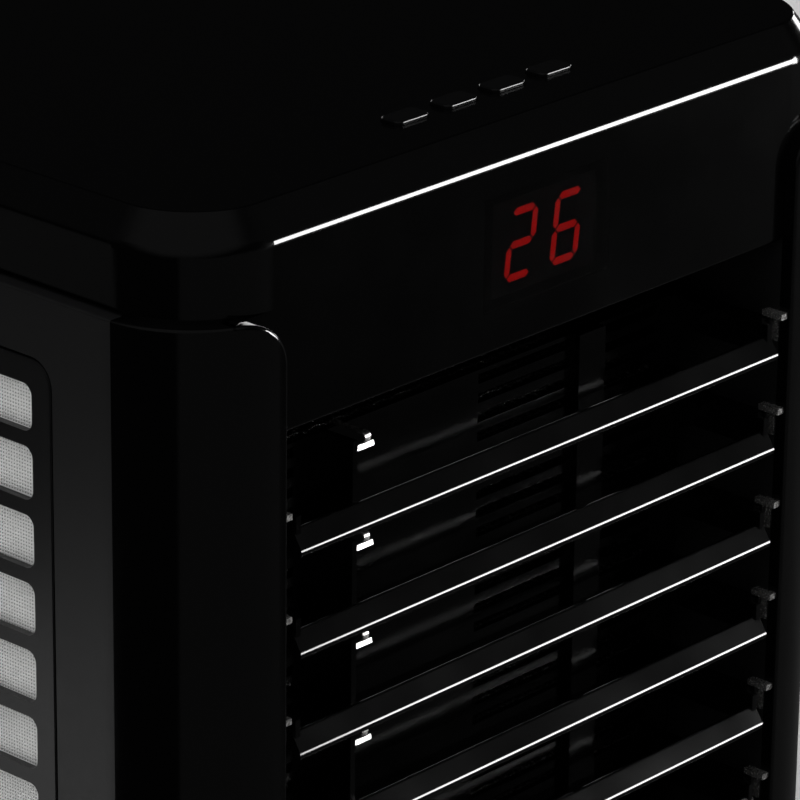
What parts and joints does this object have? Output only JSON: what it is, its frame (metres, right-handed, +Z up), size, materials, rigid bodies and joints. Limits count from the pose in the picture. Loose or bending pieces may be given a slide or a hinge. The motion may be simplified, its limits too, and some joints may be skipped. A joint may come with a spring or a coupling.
{
  "type": "food dehydrator",
  "caption": "Box-shaped countertop food dehydrator in gloss black with open-fronted sliding trays, side filter grilles, a red digital display and a rear fan.",
  "frame": {"origin": "centre of the footprint, on the surface that the feet stand on", "axes": "+Z up, front with the trays towards -Y, +X to the right seen from the front"},
  "size_m": [0.342, 0.42, 0.3626],
  "materials": {
    "gloss_black": "high-gloss moulded plastic",
    "satin_grey": "satin, finely grained moulded plastic",
    "grille_plastic": "satin moulded plastic",
    "filter_mesh": "woven nylon screen",
    "rubber": "matt",
    "chamber_black": "satin",
    "tray_black": "glossy moulded plastic",
    "steel": "stainless",
    "zinc_sheet": "zinc-plated sheet",
    "fan_plastic": "satin",
    "motor_paint": "painted",
    "mica": "pressed mica sheet",
    "heater_wire": "oxidised resistance wire",
    "circuit_board": "solder resist",
    "ribbon": "flat cable",
    "housing_black": "satin",
    "digits_red": "lit red light pipes",
    "smoked_window": "smoked acrylic",
    "button_black": "glossy"
  },
  "bodies": {
    "case": {"top_cover": "gloss_black", "front_frame": "gloss_black", "side_panel_left": "satin_grey", "side_panel_right": "satin_grey", "rear_panel": "satin_grey", "base_pan": "satin_grey", "feet": "rubber", "chamber_liner_left": "chamber_black", "chamber_liner_right": "chamber_black", "chamber_ceiling": "chamber_black", "chamber_floor": "chamber_black", "rear_baffle": "chamber_black", "tray_stops_left": "steel", "tray_stops_right": "steel", "fan_shroud": "zinc_sheet", "fan_motor": "motor_paint", "motor_bracket": "zinc_sheet", "motor_screws": "steel", "heater_frame": "mica", "heater_coil": "heater_wire", "thermostat": "zinc_sheet", "control_board": "circuit_board", "display_housing": "housing_black", "display_digits": "digits_red", "display_lens": "smoked_window", "button_board": "circuit_board", "power_board": "circuit_board", "ribbon_cable": "ribbon", "power_inlet": "housing_black", "switch_frame": "housing_black", "case_screws": "steel"},
    "fan": {"fan_impeller": "fan_plastic", "motor_shaft": "steel"},
    "drip_pan": {"drip_tray": "chamber_black"},
    "rocker": {"rocker_switch": "housing_black"},
    "grille_left": {"side_grille_left": "grille_plastic", "air_filter_left": "filter_mesh"},
    "grille_right": {"side_grille_right": "grille_plastic", "air_filter_right": "filter_mesh"},
    "tray_unit_1": {"tray_1": "tray_black", "tray_mesh_1": "steel"},
    "tray_unit_2": {"tray_2": "tray_black", "tray_mesh_2": "steel"},
    "tray_unit_3": {"tray_3": "tray_black", "tray_mesh_3": "steel"},
    "tray_unit_4": {"tray_4": "tray_black", "tray_mesh_4": "steel"},
    "tray_unit_5": {"tray_5": "tray_black", "tray_mesh_5": "steel"},
    "tray_unit_6": {"tray_6": "tray_black", "tray_mesh_6": "steel"},
    "power_key": {"button_power": "button_black"},
    "timer_key": {"button_timer": "button_black"},
    "minus_key": {"button_minus": "button_black"},
    "plus_key": {"button_plus": "button_black"}
  },
  "joints": [
    {"name": "tray_1_slide", "type": "slide", "parent": "case", "child": "tray_unit_1", "axis": [0, -1, 0], "range_m": [0, 0.24]},
    {"name": "tray_2_slide", "type": "slide", "parent": "case", "child": "tray_unit_2", "axis": [0, -1, 0], "range_m": [0, 0.24]},
    {"name": "tray_3_slide", "type": "slide", "parent": "case", "child": "tray_unit_3", "axis": [0, -1, 0], "range_m": [0, 0.24]},
    {"name": "tray_4_slide", "type": "slide", "parent": "case", "child": "tray_unit_4", "axis": [0, -1, 0], "range_m": [0, 0.24]},
    {"name": "tray_5_slide", "type": "slide", "parent": "case", "child": "tray_unit_5", "axis": [0, -1, 0], "range_m": [0, 0.24]},
    {"name": "tray_6_slide", "type": "slide", "parent": "case", "child": "tray_unit_6", "axis": [0, -1, 0], "range_m": [0, 0.24]},
    {"name": "drip_tray_slide", "type": "slide", "parent": "case", "child": "drip_pan", "axis": [0, -1, 0], "range_m": [0, 0.24]},
    {"name": "grille_left_pull", "type": "slide", "parent": "case", "child": "grille_left", "axis": [-1, 0, 0], "range_m": [0, 0.03]},
    {"name": "grille_right_pull", "type": "slide", "parent": "case", "child": "grille_right", "axis": [1, 0, 0], "range_m": [0, 0.03]},
    {"name": "power_press", "type": "slide", "parent": "case", "child": "power_key", "axis": [0, 0, -1], "range_m": [0, 0.0012], "stiffness_N_per_m": 400, "springref_m": -0.001},
    {"name": "timer_press", "type": "slide", "parent": "case", "child": "timer_key", "axis": [0, 0, -1], "range_m": [0, 0.0012], "stiffness_N_per_m": 400, "springref_m": -0.001},
    {"name": "minus_press", "type": "slide", "parent": "case", "child": "minus_key", "axis": [0, 0, -1], "range_m": [0, 0.0012], "stiffness_N_per_m": 400, "springref_m": -0.001},
    {"name": "plus_press", "type": "slide", "parent": "case", "child": "plus_key", "axis": [0, 0, -1], "range_m": [0, 0.0012], "stiffness_N_per_m": 400, "springref_m": -0.001},
    {"name": "rocker_tilt", "type": "hinge", "parent": "case", "child": "rocker", "pos_m": [0.0745, 0.2049, 0.066], "axis": [0, 0, 1], "range_deg": [-16, 0]},
    {"name": "fan_spin", "type": "hinge", "parent": "case", "child": "fan", "pos_m": [0, 0.163, 0.1591], "axis": [0, 1, 0], "continuous": true}
  ]
}
